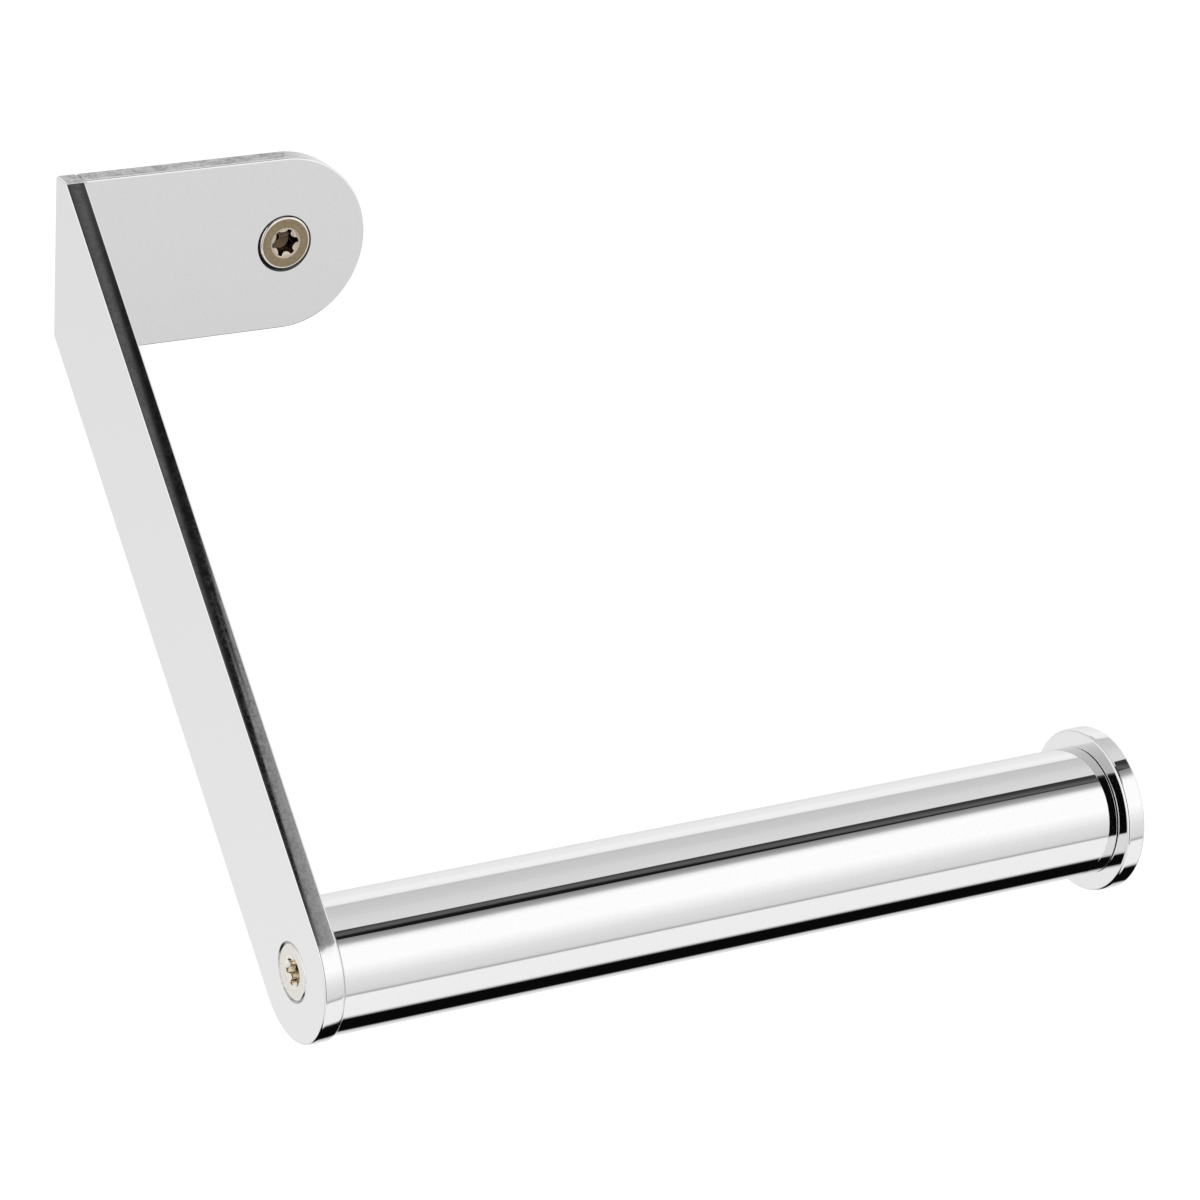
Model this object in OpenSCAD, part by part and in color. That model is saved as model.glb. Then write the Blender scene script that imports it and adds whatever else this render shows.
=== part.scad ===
// Wall-mounted toilet paper holder: a flat plate on the wall, a sloping side arm brazed to its
// end, and a free-turning roller that runs on a fixed spindle between the arm and an end disc.
//
// Millimetres, +Z up. X runs along the wall towards the open end of the roller, +Y into the wall.
// The origin is on the axis of the wall screw, in the plane of the wall.

/* [Wall plate] */
// Height of the plate, and width of its round end
plate_h = 30; // [24:0.5:40]
// Thickness of the plate
plate_t = 4; // [3:0.1:6]
// Distance from the outer face of the arm to the wall screw
plate_reach = 40; // [30:0.5:60]
// Width of the flat that breaks each visible edge of the plate and the arm
edge_break = 0.4; // [0.2:0.05:0.6]

/* [Side arm] */
// Thickness of the arm
arm_t = 3.5; // [2.8:0.1:6]
// Radius of the arm's lower end, and half of its width
arm_end_r = 11.5; // [9.5:0.1:15]
// Distance from the wall to the roller's axis
axis_out = 95; // [75:1:130]
// Drop from the wall screw to the roller's axis
axis_drop = 85; // [60:1:120]

/* [Roller tube] */
// Clear length between the arm and the end disc
roll_space = 146; // [110:1:180]
// Outer diameter of the tube
tube_d = 22; // [18:0.1:27]
// Wall thickness of the tube
tube_wall = 1.2; // [0.8:0.1:1.5]
// Gap between each end of the tube and its neighbour
tube_end_gap = 0.3; // [0.2:0.05:0.6]
// Width of the flat that breaks the tube's outer edges
tube_break = 0.25; // [0.1:0.05:0.4]

/* [End disc] */
// Diameter of the disc
disc_d = 28; // [26:0.1:36]
// Thickness of the disc
disc_t = 3.5; // [2.5:0.1:6]
// Length of the hub that reaches into the tube
hub_l = 3; // [2:0.1:5]

/* [Spindle] */
// Diameter of the spindle
spindle_d = 10; // [8:0.1:12]
// Diameter of the spindle's foot and of the disc's hub
foot_d = 16; // [13:0.1:17]
// Thickness of the foot
foot_t = 4; // [3:0.1:6]
// Depth of the threaded hole in the foot
foot_thread_l = 12; // [10:0.5:20]

/* [Locating pin] */
// Diameter of the pin that stops the spindle turning on the arm
pin_d = 2; // [1.5:0.1:2.4]
// Length of the pin
pin_l = 4.5; // [3.5:0.1:5.4]
// Depth of the pin in the arm
pin_in_arm = 1.4; // [1:0.1:1.8]
// Distance from the roller's axis to the pin
pin_offset = 5.5; // [4.6:0.1:5.8]

/* [End stud] */
// Thread diameter of the stud between the spindle and the disc
stud_d = 6; // [5:0.1:7.2]
// Length of the stud inside the spindle
stud_in_spindle = 9; // [6:0.5:14]
// Thickness of metal left between the stud and the disc's outer face
disc_skin = 1.2; // [0.8:0.1:1.5]

/* [Bushes and washers] */
// Length of each bush
bush_l = 10; // [6:0.5:16]
// Depth of the groove in each end of a bush
bush_groove = 2.5; // [1:0.1:2.9]
// Thickness of each thrust washer
washer_t = 0.8; // [0.5:0.1:1.5]

/* [Screws] */
// Thread diameter of both screws
screw_d = 5; // [4:0.1:6]
// Diameter of both screw heads
head_d = 9.2; // [8:0.1:11.1]
// Height of the straight rim of each head
head_rim = 0.3; // [0.2:0.05:0.4]
// Length of the wall screw, head included
wall_screw_l = 25; // [20:1:50]
// Length of the wall screw's point
wall_screw_point = 5; // [3:0.5:7]
// Length of the arm screw, head included
arm_screw_l = 12; // [9:0.5:14]
// Width of each socket across its six lobes
socket_d = 4.5; // [3.5:0.1:4.6]
// Width of each socket across its six flutes
socket_waist = 3.25; // [2.6:0.05:3.3]
// Depth of each socket
socket_depth = 2; // [1.4:0.1:2.3]
// Width of the shallow cone that leads into each socket
socket_mouth_d = 5.3; // [4.8:0.1:5.8]

/* [Fits] */
// Radial gap of the bushes on the spindle
running_gap = 0.05; // [0.02:0.01:0.1]
// Gap between pieces that are fixed to each other
seat_gap = 0.02; // [0.01:0.01:0.05]
// Gap between a thread and its threaded hole
thread_gap = 0.05; // [0.02:0.01:0.1]
// Radial gap around the neck of a screw
neck_gap = 0.4; // [0.2:0.05:0.6]
// End play of the roller against each washer
end_play = 0.1; // [0.05:0.05:0.2]
// Radial gap of a washer on the spindle
washer_gap = 0.15; // [0.1:0.05:0.3]

/* [Hidden] */
$fn = 96;

chrome = "#dfe2e5";
nickel = "#a89c86";
steel = "#8f9398";
nylon = "#f2efe6";

// Places along X
arm_outer_x = -plate_reach;
arm_inner_x = arm_outer_x + arm_t;
disc_x = arm_inner_x + roll_space;
hub_x = disc_x - hub_l;

// The arm's upper edge starts at the plate's top front corner and just touches the round end
plate_r = plate_h / 2;
arm_run = axis_out - plate_t;
arm_fall = axis_drop + plate_r;
arm_slope = atan2(arm_fall, arm_run) - asin(arm_end_r / norm([arm_run, arm_fall]));
arm_strip_l = norm([axis_out, arm_fall]) + plate_h;

// Roller
tube_bore_r = tube_d / 2 - tube_wall;
bush_r = tube_bore_r - seat_gap;
bush_bore_r = spindle_d / 2 + running_gap;
bush_web = (bush_r - bush_bore_r) / 3;
left_washer_x = arm_inner_x + foot_t;
right_washer_x = hub_x - washer_t;
left_bush_x = left_washer_x + washer_t + end_play;
right_bush_x = right_washer_x - end_play - bush_l;

// Screws: the head and its seat are cones of 90 degrees
head_r = head_d / 2;
neck_r = screw_d / 2 - 0.2;
seat_mouth_r = head_r + head_rim + seat_gap;
stud_in_disc = disc_t + hub_l - disc_skin;
thread_end_gap = 0.6;
stud_chamfer = 0.5;
disc_break = 0.3;

// Turns a shape that stands on the XY plane so that its +Z points along +X, at x
module along_x(x) {
    translate([x, 0, 0])
        rotate([0, 90, 0])
            children();
}

// Moves a shape made about the X axis to the roller's axis
module at_axis() {
    translate([0, -axis_out, -axis_drop])
        children();
}

// A rectangle a by b with its corners cut off
module broken_rectangle(a, b, cut) {
    polygon([
        [cut, 0], [a - cut, 0], [a, cut], [a, b - cut],
        [a - cut, b], [cut, b], [0, b - cut], [0, cut]
    ]);
}

// Half of a round slab of radius r and thickness t about Z, on the side of +Y
module half_disc(r, t, cut) {
    rotate_extrude(angle = 180)
        polygon([[0, 0], [r - cut, 0], [r, cut], [r, t - cut], [r - cut, t], [0, t]]);
}

// Round bar of radius r and length l along +Z, with both ends chamfered
module chamfered_rod(r, l, cut) {
    rotate_extrude()
        polygon([[0, 0], [r - cut, 0], [r, cut], [r, l - cut], [r - cut, l], [0, l]]);
}

// Ring along +Z
module ring(outer_r, inner_r, l) {
    difference() {
        cylinder(r = outer_r, h = l);
        translate([0, 0, -1])
            cylinder(r = inner_r, h = l + 2);
    }
}

// Six-lobed outline of a screw socket, with one lobe on +X
module six_lobes() {
    flute_r = 0.9 * (socket_d - socket_waist) / 1.25;
    difference() {
        circle(d = socket_d);
        for (turn = [30 : 60 : 330])
            rotate(turn)
                translate([socket_waist / 2 + flute_r, 0])
                    circle(r = flute_r);
    }
}

// Hole for a countersunk screw through a plate of thickness t, with its mouth on the XY plane
module screw_seat(t) {
    hole_r = neck_r + neck_gap;
    translate([0, 0, -1])
        cylinder(r = hole_r, h = t + 2);
    cylinder(r1 = seat_mouth_r, r2 = hole_r, h = seat_mouth_r - hole_r);
    translate([0, 0, -1])
        cylinder(r = seat_mouth_r, h = 1);
}

// Countersunk screw along +Z with its head flush with the XY plane: plain neck as far as neck_end,
// then a thread, shown as its full diameter, down to a point that narrows to tip_r. Its socket is
// turned about the axis by turn
module countersunk_screw(l, neck_end, point_l, tip_r, turn) {
    head_end = head_rim + head_r - neck_r;
    head_edge = 0.15;
    mouth_depth = 0.5;
    mouth_slope = (socket_mouth_d - socket_waist) / 2 / mouth_depth;
    difference() {
        rotate_extrude()
            polygon([
                [0, 0], [head_r - head_edge, 0], [head_r, head_edge], [head_r, head_rim],
                [neck_r, head_end], [neck_r, neck_end], [screw_d / 2, neck_end],
                [screw_d / 2, l - point_l], [tip_r, l], [0, l]
            ]);
        translate([0, 0, -1])
            linear_extrude(height = socket_depth + 1)
                rotate(turn)
                    six_lobes();
        translate([0, 0, -head_edge])
            cylinder(r1 = socket_mouth_d / 2 + head_edge * mouth_slope, r2 = socket_waist / 2, h = mouth_depth + head_edge);
    }
}

// Flat bar along the wall with a round right-hand end, bored and countersunk for the wall screw
module wall_plate() {
    color(chrome)
        difference() {
            union() {
                intersection() {
                    // section of the bar, seen from its end
                    along_x(arm_inner_x)
                        translate([-plate_r, -plate_t, 0])
                            linear_extrude(height = -arm_inner_x)
                                broken_rectangle(plate_h, plate_t, edge_break);
                    // plan of the bar: the front corner beside the arm is broken too
                    translate([0, 0, -plate_h])
                        linear_extrude(height = 2 * plate_h)
                            polygon([
                                [arm_inner_x, 0], [arm_inner_x, -plate_t + edge_break],
                                [arm_inner_x + edge_break, -plate_t], [0, -plate_t], [0, 0]
                            ]);
                }
                rotate([90, 0, 0])
                    rotate([0, 0, -90])
                        half_disc(plate_r, plate_t, edge_break);
            }
            translate([0, -plate_t, 0])
                rotate([-90, 0, 0])
                    screw_seat(plate_t);
        }
}

// Flat strip in the YZ plane: it stands on the wall beside the plate and slopes down and forwards
module side_arm() {
    color(chrome)
        difference() {
            union() {
                intersection() {
                    at_axis()
                        rotate([arm_slope, 0, 0])
                            rotate([-90, 0, 0])
                                translate([arm_outer_x, -arm_end_r, 0])
                                    linear_extrude(height = arm_strip_l)
                                        broken_rectangle(arm_t, 2 * arm_end_r, edge_break);
                    // the wall's plane and the plate's top edge cut the strip off
                    rotate([90, 0, 0])
                        linear_extrude(height = axis_out + plate_h)
                            polygon([
                                [arm_outer_x - 1, -axis_drop - plate_h], [arm_inner_x + 1, -axis_drop - plate_h],
                                [arm_inner_x + 1, plate_r], [arm_outer_x + edge_break, plate_r],
                                [arm_outer_x - 1, plate_r - 1 - edge_break]
                            ]);
                    translate([0, 0, -axis_drop - plate_h])
                        linear_extrude(height = axis_drop + 2 * plate_h)
                            polygon([
                                [arm_outer_x - 1, -axis_out - plate_h], [arm_inner_x + 1, -axis_out - plate_h],
                                [arm_inner_x + 1, 0], [arm_outer_x + edge_break, 0],
                                [arm_outer_x - 1, -1 - edge_break]
                            ]);
                }
                at_axis()
                    rotate([arm_slope, 0, 0])
                        along_x(arm_outer_x)
                            rotate([0, 0, 180])
                                half_disc(arm_end_r, arm_t, edge_break);
            }
            at_axis()
                along_x(arm_outer_x)
                    screw_seat(arm_t);
            at_axis()
                along_x(arm_inner_x - pin_in_arm - seat_gap)
                    translate([0, pin_offset, 0])
                        cylinder(d = pin_d + 2 * seat_gap, h = pin_in_arm + 1);
        }
}

// Screw that holds the plate on the wall
module wall_screw() {
    color(nickel)
        translate([0, -plate_t, 0])
            rotate([-90, 0, 0])
                countersunk_screw(wall_screw_l, plate_t, wall_screw_point, 0.4, -8);
}

// Screw that draws the spindle's foot against the arm
module arm_screw() {
    color(nickel)
        at_axis()
            along_x(arm_outer_x)
                countersunk_screw(arm_screw_l, arm_t, 0.6, screw_d / 2 - 0.6, 13);
}

// Fixed rod inside the roller, with a wide foot at the arm and a thread in each end
module spindle() {
    foot_break = 0.4;
    color(steel)
        at_axis()
            difference() {
                union() {
                    along_x(arm_inner_x)
                        chamfered_rod(foot_d / 2, foot_t, foot_break);
                    along_x(arm_inner_x)
                        cylinder(d = spindle_d, h = hub_x - arm_inner_x);
                }
                along_x(arm_inner_x - 1)
                    cylinder(d = screw_d + 2 * thread_gap, h = foot_thread_l + 1);
                along_x(hub_x - stud_in_spindle - thread_end_gap)
                    cylinder(d = stud_d + 2 * thread_gap, h = stud_in_spindle + thread_end_gap + 1);
                along_x(arm_inner_x - 1)
                    translate([0, pin_offset, 0])
                        cylinder(d = pin_d + 2 * seat_gap, h = pin_l - pin_in_arm + seat_gap + 1);
            }
}

// Small dowel, half in the arm and half in the spindle's foot
module locating_pin() {
    color(steel)
        at_axis()
            along_x(arm_inner_x - pin_in_arm)
                translate([0, pin_offset, 0])
                    chamfered_rod(pin_d / 2, pin_l, 0.2);
}

// Threaded stud that joins the disc to the spindle
module end_stud() {
    color(steel)
        at_axis()
            along_x(hub_x - stud_in_spindle)
                chamfered_rod(stud_d / 2, stud_in_spindle + stud_in_disc - thread_end_gap, stud_chamfer);
}

// Round cap that keeps the paper on the roller, with a hub that butts against the spindle
module end_disc() {
    color(chrome)
        at_axis()
            difference() {
                union() {
                    along_x(disc_x)
                        chamfered_rod(disc_d / 2, disc_t, disc_break);
                    along_x(hub_x)
                        cylinder(d = foot_d, h = hub_l + disc_t / 2);
                }
                along_x(hub_x - 1)
                    cylinder(d = stud_d + 2 * thread_gap, h = stud_in_disc + 1);
            }
}

// Slippery ring between a bush and its neighbour, at x
module thrust_washer(x) {
    color(nylon)
        at_axis()
            along_x(x)
                ring(foot_d / 2, spindle_d / 2 + washer_gap, washer_t);
}

// Washer against the spindle's foot
module left_washer() {
    thrust_washer(left_washer_x);
}

// Washer against the disc's hub
module right_washer() {
    thrust_washer(right_washer_x);
}

// Plain bearing pressed into the tube, with a ring-shaped groove in each end, at x
module bush(x) {
    color(nylon)
        at_axis()
            along_x(x)
                difference() {
                    ring(bush_r, bush_bore_r, bush_l);
                    for (z = [-1, bush_l - bush_groove])
                        translate([0, 0, z])
                            ring(bush_r - bush_web, bush_bore_r + bush_web, bush_groove + 1);
                }
}

// Bush at the arm
module left_bush() {
    bush(left_bush_x);
}

// Bush at the disc
module right_bush() {
    bush(right_bush_x);
}

// Polished tube that the paper hangs on and that turns with it
module roller_tube() {
    tube_l = roll_space - 2 * tube_end_gap;
    color(chrome)
        at_axis()
            along_x(arm_inner_x + tube_end_gap)
                difference() {
                    chamfered_rod(tube_d / 2, tube_l, tube_break);
                    translate([0, 0, -1])
                        cylinder(r = tube_bore_r, h = tube_l + 2);
                }
}

wall_plate();
side_arm();
wall_screw();
arm_screw();
spindle();
locating_pin();
end_stud();
end_disc();
left_washer();
right_washer();
left_bush();
right_bush();
roller_tube();
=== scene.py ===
"""Wall-mounted toilet paper holder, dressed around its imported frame.

Metres. X runs along the wall towards the roller's open end, +Y into the wall and +Z up. The origin
is on the wall screw's axis, in the plane of the wall. The outer pieces are modelled here with their
rounded edges, threads and sockets; the pieces inside the roller keep their frame meshes.
"""

import logging
import math
from collections.abc import Callable, Iterator, Sequence
from contextlib import contextmanager
from dataclasses import dataclass, field, replace
from enum import Enum
from typing import ClassVar

import bmesh
import bpy
from mathutils import Matrix, Vector

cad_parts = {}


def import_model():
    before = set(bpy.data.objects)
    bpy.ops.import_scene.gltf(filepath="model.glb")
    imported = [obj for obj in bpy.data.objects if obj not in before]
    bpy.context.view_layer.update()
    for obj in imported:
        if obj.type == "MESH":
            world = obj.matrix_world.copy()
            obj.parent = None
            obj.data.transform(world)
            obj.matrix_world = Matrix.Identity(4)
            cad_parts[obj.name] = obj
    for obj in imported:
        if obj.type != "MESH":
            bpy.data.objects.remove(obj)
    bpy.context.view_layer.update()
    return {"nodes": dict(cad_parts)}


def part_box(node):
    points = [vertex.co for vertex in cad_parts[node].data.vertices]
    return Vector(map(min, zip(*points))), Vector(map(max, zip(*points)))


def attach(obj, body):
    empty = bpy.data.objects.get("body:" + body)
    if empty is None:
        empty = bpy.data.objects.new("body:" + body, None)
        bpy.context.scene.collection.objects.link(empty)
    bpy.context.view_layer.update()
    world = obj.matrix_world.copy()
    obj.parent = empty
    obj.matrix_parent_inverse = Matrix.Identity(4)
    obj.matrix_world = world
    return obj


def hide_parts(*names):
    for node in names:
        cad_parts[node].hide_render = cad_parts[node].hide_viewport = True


LOG = logging.getLogger("holder")
MM = 0.001
MERGE = 1e-6
CUT_SLACK = 1e-7
SQUARE_ON = 0.99
EDGE_TURN_DEG = 40
ROUND_STEPS = 4
FLAT_WEIGHT = 100

Point = tuple[float, float, float]
Colour = tuple[float, float, float]
Station = tuple[float, float]
Feed = bpy.types.NodeSocket | float | tuple[float, ...]


class Body(str, Enum):
    """Bodies of the frame that pieces ride on."""

    BRACKET = "bracket"
    ROLLER = "roller"


class Element(str, Enum):
    """What a selection in edit mode is made of."""

    POINT = "VERT"
    FACE = "FACE"


class Cut(str, Enum):
    """Ways to combine a piece with a tool."""

    AWAY = "DIFFERENCE"
    JOIN = "UNION"
    KEEP = "INTERSECT"


class Lie(Enum):
    """How a round bar lies, as the turn of a standing one."""

    ALONG_X = (0, math.radians(90), 0)
    ALONG_Y = (math.radians(90), 0, 0)


# ---------------------------------------------------------------------------------------------
# Bench: the few operations that every piece is made with
# ---------------------------------------------------------------------------------------------


def only(piece: bpy.types.Object) -> None:
    """Leaves one piece selected and active.

    Args:
        piece: The piece.
    """
    bpy.ops.object.select_all(action="DESELECT")
    piece.select_set(True)
    bpy.context.view_layer.objects.active = piece


def added(name: str) -> bpy.types.Object:
    """Names the primitive that was just added.

    Args:
        name: Name of the object and of its mesh.

    Returns:
        The primitive, with its place applied to its mesh.
    """
    piece = bpy.context.view_layer.objects.active
    piece.name = name
    piece.data.name = name
    settle(piece)
    return piece


def bar(
    name: str, lie: Lie, radius: float, length: float, middle: Point, facets: int
) -> bpy.types.Object:
    """Adds a plain round bar.

    Args:
        name: Name of the piece.
        lie: The axis that it lies along.
        radius: Its radius.
        length: Its length.
        middle: Its middle.
        facets: Number of faces around.

    Returns:
        The bar.
    """
    bpy.ops.object.select_all(action="DESELECT")
    bpy.ops.mesh.primitive_cylinder_add(
        vertices=facets, radius=radius, depth=length, location=middle, rotation=lie.value
    )
    return added(name)


def settle(piece: bpy.types.Object) -> None:
    """Applies the place, turn and scale of piece to its mesh."""
    only(piece)
    bpy.ops.object.transform_apply(location=True, rotation=True, scale=True)


def place(piece: bpy.types.Object, turn: Matrix, at: Point) -> None:
    """Turns a piece that stands on Z, moves it, and applies both.

    Args:
        piece: The piece.
        turn: Rotation about the origin.
        at: Where the origin goes.
    """
    piece.matrix_world = Matrix.Translation(at) @ turn.to_4x4()
    settle(piece)


@contextmanager
def editing(piece: bpy.types.Object, element: Element = Element.FACE) -> Iterator[None]:
    """Edit mode on one piece, with nothing selected.

    Args:
        piece: The piece to edit.
        element: What selections are made of.

    Yields:
        Nothing.
    """
    only(piece)
    bpy.ops.object.mode_set(mode="EDIT")
    bpy.ops.mesh.select_mode(type=element.value)
    bpy.ops.mesh.select_all(action="DESELECT")
    try:
        yield
    finally:
        bpy.ops.object.mode_set(mode="OBJECT")


def pick_faces(piece: bpy.types.Object, test: Callable[[Vector, Vector], bool]) -> None:
    """Selects faces in edit mode.

    Args:
        piece: The piece being edited.
        test: Takes the middle and the normal of a face, and says whether it is wanted.
    """
    bpy.ops.mesh.select_all(action="DESELECT")
    shape = bmesh.from_edit_mesh(piece.data)
    shape.normal_update()
    for face in [face for face in shape.faces if test(face.calc_center_median(), face.normal)]:
        face.select_set(True)
    bmesh.update_edit_mesh(piece.data)


def pick_points(piece: bpy.types.Object, test: Callable[[Vector], bool]) -> None:
    """Selects vertices in edit mode.

    Args:
        piece: The piece being edited.
        test: Takes the place of a vertex, and says whether it is wanted.
    """
    bpy.ops.mesh.select_all(action="DESELECT")
    shape = bmesh.from_edit_mesh(piece.data)
    for point in [point for point in shape.verts if test(point.co)]:
        point.select_set(True)
    bmesh.update_edit_mesh(piece.data)


def slice_off(at: Point, towards: Point) -> None:
    """Cuts the piece being edited with a plane, removes what lies beyond it and closes the cut.

    Args:
        at: A point of the plane.
        towards: Normal of the plane, on the side that is removed.
    """
    bpy.ops.mesh.select_all(action="SELECT")
    bpy.ops.mesh.bisect(
        plane_co=at, plane_no=towards, use_fill=True, clear_outer=True, threshold=CUT_SLACK
    )


def extrude(by: Vector | Point) -> None:
    """Extrudes the selected faces of the piece being edited."""
    bpy.ops.mesh.extrude_region_move(TRANSFORM_OT_translate={"value": tuple(by)})


def face_outwards(piece: bpy.types.Object) -> None:
    """Merges doubled points of a closed piece and turns its faces outwards.

    Args:
        piece: The piece.
    """
    with editing(piece):
        bpy.ops.mesh.select_all(action="SELECT")
        bpy.ops.mesh.remove_doubles(threshold=MERGE)
        bpy.ops.mesh.normals_make_consistent(inside=False)


def apply_last(piece: bpy.types.Object) -> None:
    """Applies the last modifier of a piece."""
    only(piece)
    bpy.ops.object.modifier_apply(modifier=piece.modifiers[-1].name)


def combine(piece: bpy.types.Object, tool: bpy.types.Object, cut: Cut) -> None:
    """Cuts or joins a piece with a tool, which is used up.

    Args:
        piece: The piece.
        tool: A closed mesh.
        cut: How they combine.
    """
    only(piece)
    bpy.ops.object.modifier_add(type="BOOLEAN")
    modifier = piece.modifiers[-1]
    modifier.operation = cut.value
    modifier.solver = "EXACT"
    modifier.object = tool
    apply_last(piece)
    bpy.data.objects.remove(tool, do_unlink=True)


def round_edges(piece: bpy.types.Object, width: float) -> None:
    """Rounds every clear edge of a piece.

    Args:
        piece: The piece.
        width: Distance from the edge to where the round starts.
    """
    only(piece)
    bpy.ops.object.modifier_add(type="BEVEL")
    modifier = piece.modifiers[-1]
    modifier.width = width
    modifier.segments = ROUND_STEPS
    modifier.limit_method = "ANGLE"
    modifier.angle_limit = math.radians(EDGE_TURN_DEG)
    modifier.use_clamp_overlap = False
    apply_last(piece)


def smooth(piece: bpy.types.Object, angle_deg: float = 30) -> None:
    """Shades a piece smooth across shallow edges, with its flat faces kept exactly flat.

    Args:
        piece: The piece.
        angle_deg: Edges that turn by more stay sharp.
    """
    only(piece)
    bpy.ops.object.shade_smooth_by_angle(angle=math.radians(angle_deg))
    bpy.ops.object.modifier_add(type="WEIGHTED_NORMAL")
    modifier = piece.modifiers[-1]
    modifier.mode = "FACE_AREA"
    modifier.weight = FLAT_WEIGHT
    modifier.thresh = MERGE
    modifier.keep_sharp = True
    apply_last(piece)


def turned(name: str, stations: Sequence[Station], facets: int = 128) -> bpy.types.Object:
    """Turns a round solid about Z, as on a lathe.

    Args:
        name: Name of the piece.
        stations: Radius and height of each step of the outline, from one end to the other.
        facets: Number of faces around.

    Returns:
        The closed solid.
    """
    radius, height = stations[0]
    bpy.ops.object.select_all(action="DESELECT")
    bpy.ops.mesh.primitive_circle_add(
        vertices=facets, radius=radius, fill_type="NGON", location=(0, 0, height)
    )
    piece = added(name)
    with editing(piece):
        bpy.ops.mesh.select_all(action="SELECT")
        for next_radius, next_height in stations[1:]:
            extrude((0, 0, next_height - height))
            if next_radius != radius:
                scale = next_radius / radius
                bpy.ops.transform.resize(
                    value=(scale, scale, 1), center_override=(0, 0, next_height)
                )
            radius, height = next_radius, next_height
    face_outwards(piece)
    return piece


def corners(node: str) -> tuple[Vector, Vector]:
    """Returns the lowest and the highest corner of a frame node."""
    low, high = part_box(node)
    return Vector(low), Vector(high)


@dataclass(frozen=True)
class RollerAxis:
    """Line along X that the roller turns about."""

    y: float
    z: float

    @classmethod
    def of_frame(cls) -> "RollerAxis":
        """Finds the axis in the middle of the frame's tube.

        Returns:
            The axis.
        """
        low, high = corners("roller_tube")
        radius = (high.y - low.y) / 2
        return cls(low.y + radius, low.z + radius)


ALONG_X = Matrix.Rotation(math.radians(90), 3, "Y")
INTO_WALL = Matrix.Rotation(math.radians(-90), 3, "X")


# ---------------------------------------------------------------------------------------------
# Finishes
# ---------------------------------------------------------------------------------------------


def grey(level: float) -> Colour:
    """Returns a neutral colour."""
    return (level, level, level)


class Wiring:
    """Adds shader nodes to one tree and wires them."""

    def __init__(self, tree: bpy.types.NodeTree) -> None:
        """Starts with the tree that the nodes go in."""
        self.tree = tree

    def node(self, kind: str, **settings: object) -> bpy.types.Node:
        """Adds a node.

        Args:
            kind: The node's type, without ShaderNode.
            **settings: Properties of the node.

        Returns:
            The node.
        """
        node = self.tree.nodes.new(f"ShaderNode{kind}")
        for name, value in settings.items():
            setattr(node, name, value)
        return node

    def feed(self, socket: bpy.types.NodeSocket, value: Feed) -> None:
        """Links an input to an output socket, or sets it to a plain value.

        Args:
            socket: The input.
            value: An output socket, a number or a tuple.
        """
        if isinstance(value, bpy.types.NodeSocket):
            self.tree.links.new(value, socket)
        else:
            socket.default_value = value

    def math(self, operation: str, *values: Feed) -> bpy.types.NodeSocket:
        """Adds a Math node with the given inputs.

        Args:
            operation: The node's operation.
            *values: Sockets to link, or numbers to set.

        Returns:
            The result.
        """
        node = self.node("Math", operation=operation)
        for socket, value in zip(node.inputs, values):
            self.feed(socket, value)
        return node.outputs[0]

    def mix(
        self, amount: Feed, first: Feed, second: Feed, blend: str = "MIX"
    ) -> bpy.types.NodeSocket:
        """Mixes two colours.

        Args:
            amount: 0 for the first, 1 for the second.
            first: A colour.
            second: A colour.
            blend: How they mix.

        Returns:
            The mixed colour.
        """
        node = self.node("MixRGB", blend_type=blend)
        for socket, value in zip(node.inputs, (amount, first, second)):
            self.feed(socket, value)
        return node.outputs[0]

    def spread(
        self, value: Feed, start: Feed, end: Feed, interpolation: str = "LINEAR"
    ) -> bpy.types.NodeSocket:
        """Spreads a value over 0 to 1.

        Args:
            value: The value.
            start: Where the result is 0, and stays 0 beyond.
            end: Where the result is 1, and stays 1 beyond.
            interpolation: The way from start to end.

        Returns:
            The result.
        """
        node = self.node("MapRange", interpolation_type=interpolation)
        for name, given in (("Value", value), ("From Min", start), ("From Max", end)):
            self.feed(node.inputs[name], given)
        return node.outputs[0]

    def ease(self, value: Feed, start: Feed, end: Feed) -> bpy.types.NodeSocket:
        """Returns a smooth step from 0 at start to 1 at end."""
        return self.spread(value, start, end, "SMOOTHSTEP")

    def ramp(self, position: Feed, stops: Sequence[Station]) -> bpy.types.NodeSocket:
        """Adds a ramp of greys.

        Args:
            position: Place on the ramp, from 0 to 1.
            stops: Places and linear greys, in order.

        Returns:
            The ramp's colour.
        """
        node = self.node("ValToRGB")
        elements = node.color_ramp.elements
        for index, (at, level) in enumerate(stops):
            element = elements[index] if index < 2 else elements.new(1.0)
            element.position = at
            element.color = (*grey(level), 1)
        self.feed(node.inputs[0], position)
        return node.outputs[0]

    def split(self, vector: Feed) -> tuple[bpy.types.NodeSocket, ...]:
        """Splits a vector.

        Args:
            vector: The vector.

        Returns:
            Its X, Y and Z.
        """
        node = self.node("SeparateXYZ")
        self.feed(node.inputs[0], vector)
        return tuple(node.outputs)


class Effect(Enum):
    """Surface effects that the finishes share."""

    BUFFED = "buffed plating"
    GROUND = "ground edge"
    RINGS = "turned rings"
    MOULDED = "moulded plastic"


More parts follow.
